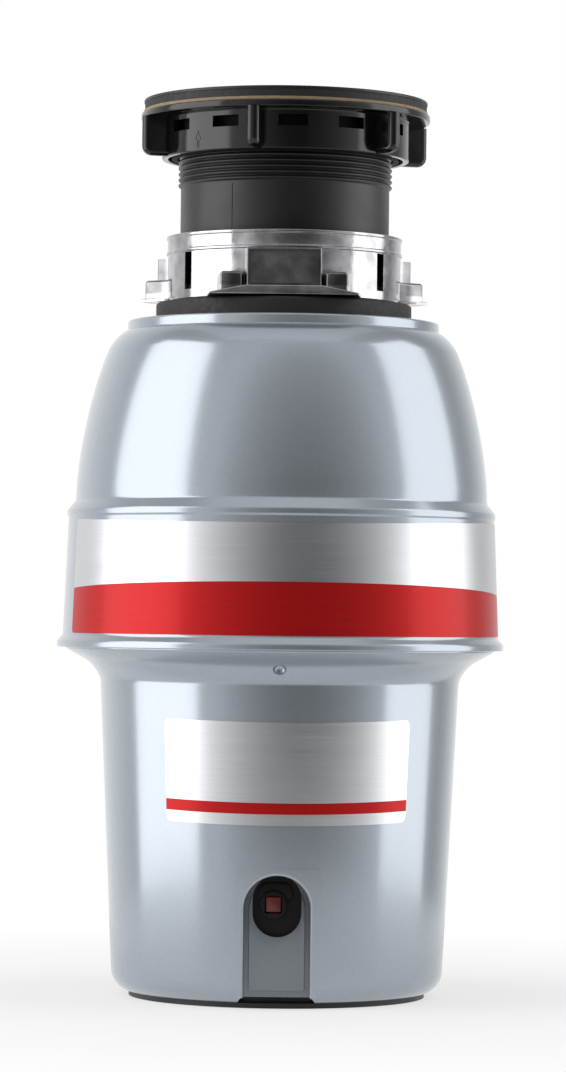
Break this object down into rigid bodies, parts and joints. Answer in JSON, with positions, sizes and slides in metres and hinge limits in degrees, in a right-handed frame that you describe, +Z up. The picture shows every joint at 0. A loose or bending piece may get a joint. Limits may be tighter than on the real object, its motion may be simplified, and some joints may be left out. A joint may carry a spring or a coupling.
{
  "type": "kitchen garbage disposal",
  "caption": "Under-sink food-waste disposer: grey two-shell casing over a motor and grinding chamber, hung from a black sink flange by a swivel ring, with a back drain port.",
  "frame": {"origin": "middle of the foot ring's underside", "axes": "+Z up along the shaft, -Y the front with the reset button, +Y the drain port's outlet"},
  "size_m": [0.18, 0.18, 0.3604],
  "materials": {
    "housing_grey": "smooth moulded plastic, light blue-grey",
    "black_plastic": "satin moulded black",
    "nut_black": "glossy moulded black",
    "button_red": "glossy red",
    "foil": "brushed foil with red printed bands",
    "zinc": "polished die casting",
    "rubber": "matt black rubber",
    "fiber": "tan pressed fibre",
    "stainless": "stainless steel",
    "zinc_plate": "zinc-plated steel",
    "cast_frame": "die-cast aluminium",
    "bronze": "sintered bronze",
    "brass": "pressed brass",
    "copper": "enamelled copper",
    "core_steel": "laminated steel",
    "ferrite": "sintered ferrite",
    "carbon": "pressed carbon"
  },
  "bodies": {
    "disposer": {"lower_shell": "housing_grey", "upper_shell": "housing_grey", "base_cover": "black_plastic", "cord_inlet_bush": "rubber", "overload_protector": "black_plastic", "belt_label": "foil", "front_label": "foil", "base_screws": "zinc_plate", "ground_screw": "brass", "hopper": "black_plastic", "drain_chamber": "black_plastic", "chamber_seal": "rubber", "hopper_screws": "zinc_plate", "grind_ring": "stainless", "shaft_seal": "rubber", "upper_end_frame": "cast_frame", "lower_end_frame": "cast_frame", "upper_bearing": "bronze", "lower_bearing": "bronze", "motor_can": "zinc_plate", "magnets": "ferrite", "brushes": "carbon", "brush_holders": "brass", "brush_springs": "brass", "through_bolts": "zinc_plate", "rectifier": "black_plastic", "cushion_mount": "rubber"},
    "rotor": {"shaft": "stainless", "turntable": "stainless", "turntable_nut": "stainless", "turntable_washer": "stainless", "water_slinger": "rubber", "impeller_pins": "stainless", "armature_core": "core_steel", "windings": "copper", "commutator": "copper", "thrust_washer": "stainless"},
    "right_impeller": {"impeller_right": "stainless"},
    "left_impeller": {"impeller_left": "stainless"},
    "swivel_ring": {"mounting_ring": "zinc"},
    "flange": {"sink_flange": "black_plastic", "flange_trim": "stainless", "sink_gasket": "rubber"},
    "washer": {"fiber_gasket": "fiber"},
    "nut": {"mounting_nut": "nut_black"},
    "guard": {"splash_guard": "rubber"},
    "button": {"reset_button": "button_red"}
  },
  "joints": [
    {"name": "rotor_spin", "type": "hinge", "parent": "disposer", "child": "rotor", "pos_m": [0, 0, 0.197], "axis": [0, 0, 1], "continuous": true},
    {"name": "right_impeller_swing", "type": "hinge", "parent": "rotor", "child": "right_impeller", "pos_m": [0.0355, 0, 0.2], "axis": [0, 0, 1], "continuous": true},
    {"name": "left_impeller_swing", "type": "hinge", "parent": "rotor", "child": "left_impeller", "pos_m": [-0.0355, 0, 0.2], "axis": [0, 0, 1], "continuous": true},
    {"name": "ring_swivel", "type": "hinge", "parent": "disposer", "child": "swivel_ring", "pos_m": [0, 0, 0.29], "axis": [0, 0, 1], "continuous": true},
    {"name": "bayonet_turn", "type": "hinge", "parent": "swivel_ring", "child": "flange", "pos_m": [0, 0, 0.29], "axis": [0, 0, 1], "range_deg": [0, 60]},
    {"name": "washer_travel", "type": "slide", "parent": "flange", "child": "washer", "axis": [0, 0, 1], "range_m": [-0.012, 0]},
    {"name": "nut_turn", "type": "hinge", "parent": "washer", "child": "nut", "pos_m": [0, 0, 0.345], "axis": [0, 0, 1], "range_deg": [-1878, 0]},
    {"name": "guard_lift", "type": "slide", "parent": "flange", "child": "guard", "axis": [0, 0, 1], "range_m": [0, 0.04]},
    {"name": "button_travel", "type": "slide", "parent": "disposer", "child": "button", "axis": [0, -1, 0], "range_m": [0, 0.003]}
  ],
  "couplings": [
    {"joint": "washer_travel", "follows": "nut_turn", "m_per_rad": 0.00036606}
  ]
}
